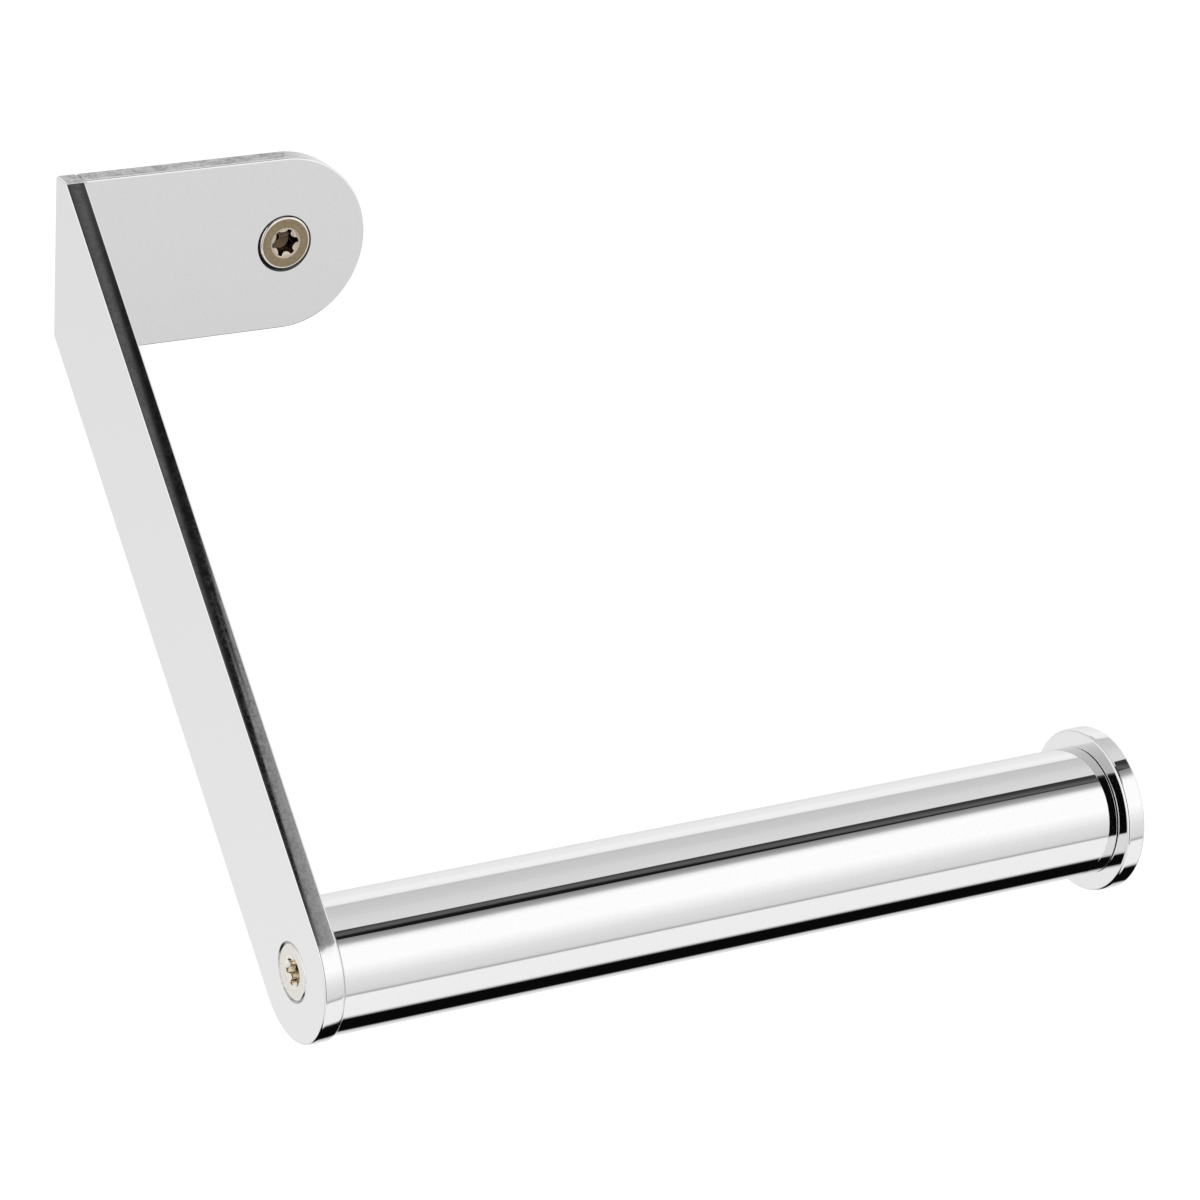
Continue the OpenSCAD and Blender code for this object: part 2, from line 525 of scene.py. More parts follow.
class EffectGroup(Wiring):
    """Shader group of one effect, from a vector to a colour, a roughness and a height."""

    def __init__(self, effect: Effect, inputs: dict[str, float | Colour]) -> None:
        """Starts the group.

        Args:
            effect: The effect, which gives the group its name.
            inputs: Its inputs besides the vector, with their usual values.
        """
        super().__init__(bpy.data.node_groups.new(effect.value, "ShaderNodeTree"))
        self._socket("Vector", "INPUT", "Vector")
        for name, value in inputs.items():
            if isinstance(value, tuple):
                self._socket(name, "INPUT", "Color").default_value = (*value, 1)
            else:
                self._socket(name, "INPUT", "Float").default_value = value
        for name, kind in (("Colour", "Color"), ("Roughness", "Float"), ("Height", "Float")):
            self._socket(name, "OUTPUT", kind)
        self.start = self.tree.nodes.new("NodeGroupInput")
        self.end = self.tree.nodes.new("NodeGroupOutput")

    def _socket(self, name: str, way: str, kind: str) -> bpy.types.NodeTreeInterfaceSocket:
        """Adds an input or an output to the group and returns it."""
        interface = self.tree.interface
        return interface.new_socket(name=name, in_out=way, socket_type=f"NodeSocket{kind}")

    def given(self, name: str) -> bpy.types.NodeSocket:
        """Returns what comes in at one of the inputs."""
        return self.start.outputs[name]

    def noise(
        self, scale: Feed, detail: float = 2.0, roughness: float = 0.5
    ) -> bpy.types.NodeSocket:
        """Adds noise on the group's vector.

        Args:
            scale: Lumps per metre.
            detail: Number of finer layers.
            roughness: Strength of the finer layers.

        Returns:
            The noise.
        """
        node = self.node("TexNoise", noise_dimensions="3D")
        self.feed(node.inputs["Vector"], self.given("Vector"))
        self.feed(node.inputs["Scale"], scale)
        node.inputs["Detail"].default_value = detail
        node.inputs["Roughness"].default_value = roughness
        return node.outputs[0]

    def blend(
        self, first: bpy.types.NodeSocket, share: float, second: bpy.types.NodeSocket
    ) -> bpy.types.NodeSocket:
        """Adds two noises together.

        Args:
            first: The first noise.
            share: Its share.
            second: The second noise, which gets the rest.

        Returns:
            The sum.
        """
        rest = round(1 - share, 6)
        return self.math(
            "ADD", self.math("MULTIPLY", first, share), self.math("MULTIPLY", second, rest)
        )

    def plus(self, name: str, extra: bpy.types.NodeSocket, share: float) -> bpy.types.NodeSocket:
        """Returns what comes in at an input, plus a share of something else."""
        return self.math("ADD", self.given(name), self.math("MULTIPLY", extra, share))

    def close(
        self,
        colour: bpy.types.NodeSocket,
        roughness: bpy.types.NodeSocket,
        height: bpy.types.NodeSocket,
    ) -> bpy.types.NodeTree:
        """Wires the outputs.

        Args:
            colour: The surface's colour.
            roughness: Its roughness.
            height: Its relief.

        Returns:
            The group.
        """
        for name, value in (("Colour", colour), ("Roughness", roughness), ("Height", height)):
            self.feed(self.end.inputs[name], value)
        return self.tree


class Effects:
    """The shared effects, each of them built once."""

    def __init__(self) -> None:
        """Builds the groups."""
        self.groups = {
            Effect.BUFFED: self._buffed(),
            Effect.GROUND: self._ground(),
            Effect.RINGS: self._rings(),
            Effect.MOULDED: self._moulded(),
        }

    @staticmethod
    def _buffed() -> bpy.types.NodeTree:
        """Buffed plating: a faint cloud and fine pits in the gloss.

        Returns:
            The group.
        """
        group = EffectGroup(
            Effect.BUFFED,
            {"Colour": grey(0.88), "Roughness": 0.03, "Cloud": 0.02, "Cloud Scale": 55.0},
        )
        cloud = group.noise(scale=group.given("Cloud Scale"), detail=3.0)
        pits = group.noise(scale=2600.0, detail=1.0)
        deep = group.math("MULTIPLY", pits, group.math("MULTIPLY", group.given("Cloud"), 0.8))
        lift = group.math("ADD", group.math("MULTIPLY", cloud, group.given("Cloud")), deep)
        rough = group.math("ADD", group.given("Roughness"), lift)
        tint = group.ramp(pits, ((0.3, 0.975), (0.7, 1.0)))
        colour = group.mix(1.0, group.given("Colour"), tint, "MULTIPLY")
        return group.close(colour, rough, cloud)

    @staticmethod
    def _ground() -> bpy.types.NodeTree:
        """Ground edge under thin plating: dark pits that fade out along the vector's X.

        Returns:
            The group.
        """
        group = EffectGroup(
            Effect.GROUND,
            {
                "Colour": grey(0.6),
                "Pit Colour": grey(0.2),
                "Roughness": 0.25,
                "Pits": 0.5,
                "Polish Colour": grey(0.9),
                "Fade Start": 0.5,
                "Fade End": 1.0,
            },
        )
        fine = group.noise(scale=1900.0, detail=3.0, roughness=0.6)
        pits = group.blend(fine, 0.65, group.noise(scale=420.0))
        mask = group.spread(pits, start=0.44, end=0.62)
        amount = group.math("MULTIPLY", mask, group.given("Pits"))
        ground = group.mix(amount, group.given("Colour"), group.given("Pit Colour"))
        along = group.split(group.given("Vector"))[0]
        fade = group.ease(along, group.given("Fade Start"), group.given("Fade End"))
        colour = group.mix(fade, ground, group.given("Polish Colour"))
        left = group.math("SUBTRACT", 1.0, group.math("MULTIPLY", fade, 0.8))
        rough = group.math("MULTIPLY", group.plus("Roughness", amount, share=0.15), left)
        return group.close(colour, rough, pits)

    @staticmethod
    def _rings() -> bpy.types.NodeTree:
        """Tool marks in rings about the vector's X axis.

        Returns:
            The group.
        """
        group = EffectGroup(
            Effect.RINGS,
            {
                "Colour": grey(0.6),
                "Dark Colour": grey(0.4),
                "Roughness": 0.3,
                "Pitch": 0.1 * MM,
            },
        )
        along, across, up = group.split(group.given("Vector"))
        squares = group.math(
            "ADD", group.math("MULTIPLY", across, across), group.math("MULTIPLY", up, up)
        )
        # cones and ends get rings from the radius, straight parts from the length
        place_on_tool = group.math("ADD", group.math("SQRT", squares), along)
        marks = group.node("TexNoise", noise_dimensions="1D")
        group.feed(marks.inputs["W"], group.math("DIVIDE", place_on_tool, group.given("Pitch")))
        marks.inputs["Scale"].default_value = 1.0
        marks.inputs["Detail"].default_value = 2.0
        blotches = group.noise(scale=2400.0, detail=3.0)
        mask = group.spread(group.blend(marks.outputs[0], 0.6, blotches), start=0.38, end=0.62)
        colour = group.mix(mask, group.given("Colour"), group.given("Dark Colour"))
        return group.close(colour, group.plus("Roughness", mask, share=0.1), marks.outputs[0])

    @staticmethod
    def _moulded() -> bpy.types.NodeTree:
        """Moulded plastic: a soft cloud in colour and a fine grain.

        Returns:
            The group.
        """
        group = EffectGroup(
            Effect.MOULDED,
            {
                "Colour": (0.9, 0.9, 0.86),
                "Shade Colour": (0.8, 0.79, 0.74),
                "Roughness": 0.4,
            },
        )
        cloud = group.noise(scale=260.0, detail=3.0)
        grain = group.noise(scale=5200.0)
        colour = group.mix(cloud, group.given("Colour"), group.given("Shade Colour"))
        return group.close(colour, group.plus("Roughness", grain, share=0.2), grain)


@dataclass(frozen=True, kw_only=True)
class Finish:
    """Material whose colour, gloss and relief come from one shared effect.

    The bump is the depth of the relief in metres. The pattern's origin lies at the centre, and the
    pattern is turned by the degrees of turn.
    """

    name: str
    colour: Colour
    roughness: float
    bump: float = 0.0
    centre: Point = (0, 0, 0)
    turn: Point = (0, 0, 0)
    effect: ClassVar[Effect]
    metallic: ClassVar[float] = 1.0

    def values(self) -> dict[str, float | tuple[float, ...]]:
        """Returns the values of the effect's inputs."""
        return {"Colour": (*self.colour, 1), "Roughness": self.roughness}

    def material(self, effects: Effects) -> bpy.types.Material:
        """Builds the material.

        Args:
            effects: The shared effects.

        Returns:
            The material.
        """
        material = bpy.data.materials.new(self.name)
        material.use_nodes = True
        material.diffuse_color = (*grey(0.7), 1)
        wiring = Wiring(material.node_tree)
        shader = wiring.tree.nodes["Principled BSDF"]
        shader.inputs["Metallic"].default_value = self.metallic
        mapping = wiring.node("Mapping", vector_type="TEXTURE")
        mapping.inputs["Location"].default_value = self.centre
        mapping.inputs["Rotation"].default_value = [math.radians(angle) for angle in self.turn]
        wiring.feed(mapping.inputs["Vector"], wiring.node("TexCoord").outputs["Object"])
        group = wiring.node("Group", node_tree=effects.groups[self.effect])
        wiring.feed(group.inputs["Vector"], mapping.outputs[0])
        for name, value in self.values().items():
            group.inputs[name].default_value = value
        wiring.feed(shader.inputs["Base Color"], group.outputs["Colour"])
        wiring.feed(shader.inputs["Roughness"], group.outputs["Roughness"])
        if self.bump:
            relief = wiring.node("Bump")
            relief.inputs["Strength"].default_value = 1.0
            relief.inputs["Distance"].default_value = self.bump
            wiring.feed(relief.inputs["Height"], group.outputs["Height"])
            wiring.feed(shader.inputs["Normal"], relief.outputs[0])
        return material


@dataclass(frozen=True, kw_only=True)
class Chrome(Finish):
    """Mirror-polished chrome plate."""

    colour: Colour = grey(0.905)
    roughness: float = 0.02
    cloud: float = 0.02
    effect: ClassVar[Effect] = Effect.BUFFED

    def values(self) -> dict[str, float | tuple[float, ...]]:
        """Returns the values of the effect's inputs."""
        return super().values() | {"Cloud": self.cloud}


@dataclass(frozen=True, kw_only=True)
class GroundEdge(Finish):
    """Narrow edge that was ground before plating, so that its gloss is grained and pitted. The
    plate's seat wears it nearly black, as painted shade.
    """

    colour: Colour = grey(0.5)
    pit_colour: Colour = grey(0.12)
    roughness: float = 0.2
    pits: float = 0.7
    fade: tuple[float, float] = (0.5, 1.0)
    effect: ClassVar[Effect] = Effect.GROUND

    def values(self) -> dict[str, float | tuple[float, ...]]:
        """Returns the values of the effect's inputs."""
        start, end = self.fade
        own = {"Pit Colour": (*self.pit_colour, 1), "Pits": self.pits}
        return super().values() | own | {"Fade Start": start, "Fade End": end}


@dataclass(frozen=True, kw_only=True)
class TurnedMetal(Finish):
    """Satin metal with tool marks in rings about an axis."""

    dark_colour: Colour
    pitch: float = 0.12 * MM
    effect: ClassVar[Effect] = Effect.RINGS

    def values(self) -> dict[str, float | tuple[float, ...]]:
        """Returns the values of the effect's inputs."""
        return super().values() | {"Dark Colour": (*self.dark_colour, 1), "Pitch": self.pitch}


@dataclass(frozen=True, kw_only=True)
class Nylon(Finish):
    """Natural moulded nylon."""

    colour: Colour = (0.88, 0.865, 0.81)
    shade_colour: Colour = (0.8, 0.78, 0.71)
    roughness: float = 0.38
    bump: float = 4e-6
    effect: ClassVar[Effect] = Effect.MOULDED
    metallic: ClassVar[float] = 0.0

    def values(self) -> dict[str, float | tuple[float, ...]]:
        """Returns the values of the effect's inputs."""
        return super().values() | {"Shade Colour": (*self.shade_colour, 1)}


PLATE_FINISHES: tuple[Finish, ...] = (
    Chrome(name="plate chrome", roughness=0.05, cloud=0.03),
    GroundEdge(name="plate ground edge", fade=(-2 * MM, 9 * MM)),
    # painted shade: the seat round the wall screw's head is coloured nearly black; its pits are
    # grain
    GroundEdge(
        name="bored seat", colour=grey(0.1), pit_colour=grey(0.03), roughness=0.3, pits=0.6
    ),
)
ARM_FINISHES: tuple[Finish, ...] = (
    Chrome(name="arm chrome", roughness=0.04, cloud=0.03),
    GroundEdge(
        name="arm ground edge",
        colour=grey(0.86),
        pit_colour=grey(0.4),
        roughness=0.04,
        pits=0.45,
        fade=(75.5 * MM, 79 * MM),
        turn=(0, 90, 0),
    ),
    GroundEdge(name="arm ground top"),
    GroundEdge(name="arm bored seat", colour=grey(0.6), pit_colour=grey(0.3), pits=0.6),
)
TUBE_FINISHES: tuple[Finish, ...] = (Chrome(name="tube chrome", roughness=0.012, cloud=0.01),)
DISC_FINISHES: tuple[Finish, ...] = (Chrome(name="disc chrome", roughness=0.012, cloud=0.01),)
WALL_SCREW_FINISHES: tuple[Finish, ...] = (
    TurnedMetal(
        name="wall screw nickel",
        colour=(0.42, 0.34, 0.22),
        dark_colour=(0.26, 0.2, 0.12),
        roughness=0.28,
        turn=(0, 0, 90),
    ),
    # painted highlight: the rim of the wall screw's head is coloured much brighter than its face of
    # the same plating; its low roughness is its polish
    Chrome(name="wall screw rim painted highlight", colour=(0.9, 0.85, 0.79), roughness=0.05),
    # painted shade: the socket inside the wall screw's head is coloured nearly black
    Chrome(name="wall screw socket painted shade", colour=(0.11, 0.08, 0.05), roughness=0.04),
    # painted highlight: the cone at the socket's mouth is coloured brighter than the head's face
    Chrome(name="wall screw mouth painted highlight", colour=(0.62, 0.53, 0.44), roughness=0.05),
)
ARM_SCREW_FINISHES: tuple[Finish, ...] = (
    TurnedMetal(
        name="arm screw nickel",
        colour=(0.94, 0.915, 0.86),
        dark_colour=(0.82, 0.8, 0.73),
        roughness=0.2,
    ),
    Chrome(name="arm screw rim", colour=(0.92, 0.9, 0.86), roughness=0.06),
    Chrome(name="arm screw socket", colour=(0.94, 0.88, 0.78), roughness=0.05),
    Chrome(name="arm screw mouth", colour=(0.95, 0.91, 0.85), roughness=0.08),
)
STEEL = TurnedMetal(
    name="turned steel",
    colour=(0.58, 0.59, 0.6),
    dark_colour=(0.42, 0.43, 0.44),
    roughness=0.28,
    pitch=0.2 * MM,
    bump=3e-6,
)
NYLON = Nylon(name="natural nylon")


# ---------------------------------------------------------------------------------------------
# Pieces
# ---------------------------------------------------------------------------------------------


def hand_in(
    piece: bpy.types.Object, body: Body, node: str, materials: list[bpy.types.Material]
) -> None:
    """Gives a finished piece its materials and its place in the frame.

    Args:
        piece: The piece.
        body: The body it rides on.
        node: The frame node that it stands for.
        materials: Its materials, the main one first.
    """
    for index, material in enumerate(materials):
        if index < len(piece.data.materials):
            piece.data.materials[index] = material
        else:
            piece.data.materials.append(material)
    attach(piece, body.value)
    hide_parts(node)
    LOG.info("%s stands for %s: %d faces", piece.name, node, len(piece.data.polygons))


def give_slots(piece: bpy.types.Object, *tests: Callable[[Vector, Vector], bool]) -> None:
    """Gives some faces of a piece other material slots than the first.

    Args:
        piece: The piece, still without materials.
        *tests: One for each further slot, which takes the middle and the normal of a face, and
            says whether it is wanted.
    """
    while len(piece.data.materials) <= len(tests):
        piece.data.materials.append(None)
    with editing(piece):
        for index, test in enumerate(tests, start=1):
            pick_faces(piece, test)
            piece.active_material_index = index
            bpy.ops.object.material_slot_assign()


def materials_of(finishes: Sequence[Finish], effects: Effects) -> list[bpy.types.Material]:
    """Returns the materials of some finishes, in their order."""
    return [finish.material(effects) for finish in finishes]


@dataclass
class ScrewSeat:
    """Countersunk hole for a screw."""

    mouth_r: float = 4.95 * MM
    hole_r: float = 2.7 * MM
    lip: float = 1.0 * MM
    depth: float = 8.0 * MM
    face_tilt: float = 0.9

    def tool(self) -> bpy.types.Object:
        """Makes the solid that cuts the seat.

        Returns:
            A solid about Z, with the seat's mouth at the origin.
        """
        cone_end = self.mouth_r - self.hole_r
        outline = [
            (self.mouth_r, -self.lip),
            (self.mouth_r, 0.0),
            (self.hole_r, cone_end),
            (self.hole_r, self.depth),
        ]
        return turned("seat tool", outline)

    def holds(self, middle: Vector, normal: Vector, mouth: Point, axis: Vector) -> bool:
        """Says whether a face belongs to the seat.

        Args:
            middle: Middle of the face.
            normal: Normal of the face.
            mouth: Middle of the seat's mouth.
            axis: Direction into the hole.

        Returns:
            True on the cone and in the hole.
        """
        from_mouth = middle - Vector(mouth)
        depth = from_mouth.dot(axis)
        from_axis = (from_mouth - axis * depth).length
        return from_axis < self.mouth_r and abs(normal.dot(axis)) < self.face_tilt


@dataclass
class WallPlate:
    """Flat bar on the wall with a round end, where the wall screw goes."""

    radius: float
    thickness: float
    left_end: float
    edge_round: float = 0.4 * MM
    rim_from: float = 0.9
    rim_tilt: float = 0.1
    facets: int = 256
    seat: ScrewSeat = field(default_factory=ScrewSeat)

    @classmethod
    def of_frame(cls) -> "WallPlate":
        """Sizes the plate by its frame node."""
        low, high = corners("wall_plate")
        return cls(radius=(high.z - low.z) / 2, thickness=high.y - low.y, left_end=low.x)

    def build(self) -> bpy.types.Object:
        """Models the plate.

        Returns:
            The piece.
        """
        middle = (0, -self.thickness / 2, 0)
        piece = bar(
            "wall_plate_body", Lie.ALONG_Y, self.radius, self.thickness, middle, self.facets
        )
        with editing(piece):
            slice_off((0, 0, 0), (-1, 0, 0))
            pick_faces(piece, lambda middle, normal: normal.x < -SQUARE_ON)
            extrude((self.left_end, 0, 0))
        face_outwards(piece)
        round_edges(piece, self.edge_round)
        tool = self.seat.tool()
        place(tool, INTO_WALL, (0, -self.thickness, 0))
        combine(piece, tool, Cut.AWAY)
        smooth(piece)
        return piece

    def on_rim(self, middle: Vector, normal: Vector) -> bool:
        """Says whether a face lies on the narrow rim."""
        from_axis = math.hypot(max(middle.x, 0), middle.z)
        return abs(normal.y) < self.rim_tilt and from_axis > self.rim_from * self.radius

    def dress(self, piece: bpy.types.Object, effects: Effects) -> None:
        """Finishes the plate, with its ground rim and its seat apart.

        Args:
            piece: The plate.
            effects: The shared effects.
        """
        mouth = (0, -self.thickness, 0)
        into = Vector((0, 1, 0))
        give_slots(
            piece, self.on_rim, lambda at, normal: self.seat.holds(at, normal, mouth, into)
        )
        materials = materials_of(PLATE_FINISHES, effects)
        hand_in(piece, Body.BRACKET, "wall_plate", materials)


@dataclass
class SideArm:
    """Flat strip that slopes down and forwards from the wall to the roller."""

    outer_x: float
    thickness: float
    end_r: float
    axis_y: float
    axis_z: float
    corner_y: float
    corner_z: float
    edge_round: float = 0.4 * MM
    pin_offset: float = 5.5 * MM
    pin_hole_r: float = 1.02 * MM
    pin_hole_depth: float = 1.42 * MM
    pin_tool_l: float = 4 * MM
    pin_tool_facets: int = 32
    crown_deg: float = 3.5
    crown_steps: int = 8
    edge_from: float = 0.99
    rim_from: float = 0.9
    rim_tilt: float = 0.15
    fade_tilt: float = 0.35
    top_tilt: float = 0.97
    facets: int = 256
    seat: ScrewSeat = field(default_factory=ScrewSeat)

    @classmethod
    def of_frame(cls) -> "SideArm":
        """Sizes the arm by its frame node and its neighbours.

        Returns:
            The arm.
        """
        low, high = corners("side_arm")
        axis = RollerAxis.of_frame()
        return cls(
            outer_x=low.x,
            thickness=high.x - low.x,
            end_r=axis.y - low.y,
            axis_y=axis.y,
            axis_z=axis.z,
            corner_y=corners("wall_plate")[0].y,
            corner_z=high.z,
        )

    @property
    def slope(self) -> float:
        """Angle of the strip below the horizontal.

        Returns:
            The angle in radians.
        """
        run = self.corner_y - self.axis_y
        fall = self.corner_z - self.axis_z
        return math.atan2(fall, run) - math.asin(self.end_r / math.hypot(run, fall))

    @property
    def uphill(self) -> Vector:
        """Direction along the strip from the roller to the wall."""
        return Vector((0, math.cos(self.slope), math.sin(self.slope)))

    @property
    def across(self) -> Vector:
        """Direction across the strip, upwards."""
        return Vector((0, -self.uphill.z, self.uphill.y))

    @property
    def middle_x(self) -> float:
        """Place of the middle of the thickness."""
        return self.outer_x + self.thickness / 2

    def build(self) -> bpy.types.Object:
        """Models the arm.

        Returns:
            The piece.
        """
        axis = (self.middle_x, self.axis_y, self.axis_z)
        piece = bar("side_arm_body", Lie.ALONG_X, self.end_r, self.thickness, axis, self.facets)
        uphill = self.uphill
        with editing(piece):
            slice_off(axis, tuple(uphill))
            pick_faces(piece, lambda middle, normal: normal.dot(uphill) > SQUARE_ON)
            extrude(uphill * (2 * abs(self.axis_y)))
            slice_off((0, 0, 0), (0, 1, 0))
            slice_off((0, 0, self.corner_z), (0, 0, 1))
        face_outwards(piece)
        round_edges(piece, self.edge_round)
        self._crown(piece)
        seat_tool = self.seat.tool()
        place(seat_tool, ALONG_X, (self.outer_x, self.axis_y, self.axis_z))
        combine(piece, seat_tool, Cut.AWAY)
        pin_outline = [(self.pin_hole_r, 0.0), (self.pin_hole_r, self.pin_tool_l)]
        pin_tool = turned("pin tool", pin_outline, self.pin_tool_facets)
        pin_x = self.outer_x + self.thickness - self.pin_hole_depth
        place(pin_tool, ALONG_X, (pin_x, self.axis_y + self.pin_offset, self.axis_z))
        combine(piece, pin_tool, Cut.AWAY)
        smooth(piece)
        return piece

    def _crown(self, piece: bpy.types.Object) -> None:
        """Crowns the long edges and the round end very slightly across their width.

        Args:
            piece: The arm, with its edges rounded.
        """
        half = self.thickness / 2 - self.edge_round
        lean = math.radians(self.crown_deg)
        curve_r = half / math.sin(lean)
        edge = half * math.cos(lean) / math.sin(lean)
        axis = (self.middle_x, self.axis_y, self.axis_z)
        offsets = [
            half * (2 * step / self.crown_steps - 1) for step in range(1, self.crown_steps)
        ]
        with editing(piece, Element.POINT):
            for offset in offsets:
                cut_at = (self.middle_x + offset, 0, 0)
                bpy.ops.mesh.select_all(action="SELECT")
                bpy.ops.mesh.bisect(plane_co=cut_at, plane_no=(1, 0, 0), threshold=CUT_SLACK)
            for offset in offsets:
                rise = math.sqrt(curve_r**2 - offset**2) - edge
                at_x = self.middle_x + offset
                for side in (1, -1):
                    move = self.across * (rise * side)
                    pick_points(piece, lambda at: self._side_of(at, at_x) == side)
                    bpy.ops.transform.translate(value=tuple(move))
                pick_points(piece, lambda at: self._side_of(at, at_x) == 0)
                grow = 1 + rise / self.end_r
                bpy.ops.transform.resize(value=(1, grow, grow), center_override=axis)

    def _side_of(self, at: Vector, at_x: float) -> int | None:
        """Says where a point of a lengthwise cut lies.

        Args:
            at: The point.
            at_x: Place of the cut.

        Returns:
            1 on the upper long edge, -1 on the lower one, 0 on the round end, or None.
        """
        if abs(at.x - at_x) > MERGE:
            return None
        from_axis = at - Vector((at.x, self.axis_y, self.axis_z))
        if from_axis.dot(self.uphill) < -MERGE:
            return 0
        height = from_axis.dot(self.across)
        if abs(height) < self.edge_from * self.end_r:
            return None
        return 1 if height > 0 else -1

    def on_rim(self, middle: Vector, normal: Vector) -> bool:
        """Says whether a face lies on one of the crowned long edges.

        Args:
            middle: Middle of the face.
            normal: Normal of the face.

        Returns:
            True on the edges and a little way round the end.
        """
        from_axis = middle - Vector((self.middle_x, self.axis_y, self.axis_z))
        on_strip = from_axis.dot(self.uphill) > 0
        on_round = from_axis.length > self.rim_from * self.end_r
        on_fade = normal.z > self.fade_tilt and on_round
        return abs(normal.x) < self.rim_tilt and (on_strip or on_fade)

    def on_top(self, middle: Vector, normal: Vector) -> bool:
        """Says whether a face lies on the level cut at the top."""
        return normal.z > self.top_tilt

    def dress(self, piece: bpy.types.Object, effects: Effects) -> None:
        """Finishes the arm, with its ground edges and its seat apart.

        Args:
            piece: The arm.
            effects: The shared effects.
        """
        mouth = (self.outer_x, self.axis_y, self.axis_z)
        into = Vector((1, 0, 0))
        give_slots(
            piece,
            self.on_rim,
            self.on_top,
            lambda at, normal: self.seat.holds(at, normal, mouth, into),
        )
        materials = materials_of(ARM_FINISHES, effects)
        hand_in(piece, Body.BRACKET, "side_arm", materials)


@dataclass
class RollerTube:
    """Polished tube that the paper hangs on."""

    radius: float
    left: float
    right: float
    axis_y: float
    axis_z: float
    wall: float = 1.2 * MM
    closer: float = 0.16 * MM
    edge_round: float = 0.16 * MM
    facets: int = 320

    @classmethod
    def of_frame(cls) -> "RollerTube":
        """Sizes the tube by its frame node, a little longer so that the gaps look fine.

        Returns:
            The tube.
        """
        low, high = corners("roller_tube")
        axis = RollerAxis.of_frame()
        return cls(
            radius=axis.y - low.y,
            left=low.x - cls.closer,
            right=high.x + cls.closer,
            axis_y=axis.y,
            axis_z=axis.z,
        )

    def build(self) -> bpy.types.Object:
        """Models the tube.

        Returns:
            The piece.
        """
        length = self.right - self.left
        middle = ((self.left + self.right) / 2, self.axis_y, self.axis_z)
        piece = bar("roller_tube_body", Lie.ALONG_X, self.radius, length, middle, self.facets)
        with editing(piece):
            pick_faces(piece, lambda middle, normal: abs(normal.x) > SQUARE_ON)
            bpy.ops.mesh.inset(thickness=self.wall, use_individual=True)
            bpy.ops.mesh.bridge_edge_loops()
        face_outwards(piece)
        round_edges(piece, self.edge_round)
        smooth(piece)
        return piece

    def dress(self, piece: bpy.types.Object, effects: Effects) -> None:
        """Finishes the tube."""
        materials = materials_of(TUBE_FINISHES, effects)
        hand_in(piece, Body.ROLLER, "roller_tube", materials)


@dataclass
class EndDisc:
    """Round cap at the open end, with a hub that reaches into the tube."""

    radius: float
    left: float
    thickness: float
    axis_y: float
    axis_z: float
    hub_r: float = 8.0 * MM
    hub_l: float = 3.0 * MM
    stud_hole_r: float = 3.05 * MM
    stud_hole_depth: float = 5.3 * MM
    edge_round: float = 0.5 * MM
    facets: int = 320

    @classmethod
    def of_frame(cls) -> "EndDisc":
        """Sizes the disc by its frame node.

        Returns:
            The disc.
        """
        low, high = corners("end_disc")
        axis = RollerAxis.of_frame()
        left = low.x + cls.hub_l
        return cls(
            radius=axis.y - low.y,
            left=left,
            thickness=high.x - left,
            axis_y=axis.y,
            axis_z=axis.z,
        )

    def build(self) -> bpy.types.Object:
        """Models the disc.

        Returns:
            The piece.
        """
        middle = (self.left + self.thickness / 2, self.axis_y, self.axis_z)
        piece = bar("end_disc_body", Lie.ALONG_X, self.radius, self.thickness, middle, self.facets)
        with editing(piece):
            pick_faces(piece, lambda middle, normal: normal.x < -SQUARE_ON)
            bpy.ops.mesh.inset(thickness=self.radius - self.hub_r)
            extrude((-self.hub_l, 0, 0))
            bpy.ops.mesh.inset(thickness=self.hub_r - self.stud_hole_r)
            extrude((self.stud_hole_depth, 0, 0))
        face_outwards(piece)
        round_edges(piece, self.edge_round)
        smooth(piece)
        return piece

    def dress(self, piece: bpy.types.Object, effects: Effects) -> None:
        """Finishes the disc."""
        materials = materials_of(DISC_FINISHES, effects)
        hand_in(piece, Body.BRACKET, "end_disc", materials)


@dataclass
class Thread:
    """Helical thread about Z, whose profile is a flat strip with a crest in its middle."""

    crest_r: float
    root_r: float
    pitch: float
    start: float
    end: float
    steps: int = 48
    lead_turns: float = 2.0
    spare_turns: int = 3
    profile_cuts: int = 3
    crest_from: float = 0.4
    crest_to: float = 0.6

    def build(self) -> bpy.types.Object:
        """Models the threaded rod.

        Returns:
            A closed solid from start to end.
        """
        low = self.start - self.lead_turns * self.pitch
        bpy.ops.object.select_all(action="DESELECT")
        bpy.ops.mesh.primitive_plane_add(
            size=self.pitch,
            location=(self.root_r, 0, low + self.pitch / 2),
            rotation=(math.radians(90), 0, 0),
        )
        piece = added("thread")
        with editing(piece, Element.POINT):
            pick_points(piece, lambda at: at.x > self.root_r)
            bpy.ops.mesh.delete(type="VERT")
            bpy.ops.mesh.select_all(action="SELECT")
            bpy.ops.transform.translate(value=(self.pitch / 2, 0, 0))
            bpy.ops.mesh.subdivide(number_cuts=self.profile_cuts)
            crest = (low + self.crest_from * self.pitch, low + self.crest_to * self.pitch)
            pick_points(piece, lambda at: crest[0] < at.z < crest[1])
            bpy.ops.transform.translate(value=(self.crest_r - self.root_r, 0, 0))
        only(piece)
        bpy.ops.object.modifier_add(type="SCREW")
        modifier = piece.modifiers[-1]
        modifier.axis = "Z"
        modifier.angle = math.radians(360)
        modifier.screw_offset = self.pitch
        modifier.iterations = math.ceil((self.end - self.start) / self.pitch) + self.spare_turns
        modifier.steps = self.steps
        modifier.render_steps = self.steps
        modifier.use_merge_vertices = True
        modifier.merge_threshold = MERGE
        apply_last(piece)
        with editing(piece):
            slice_off((0, 0, self.start), (0, 0, -1))
            slice_off((0, 0, self.end), (0, 0, 1))
        face_outwards(piece)
        return piece


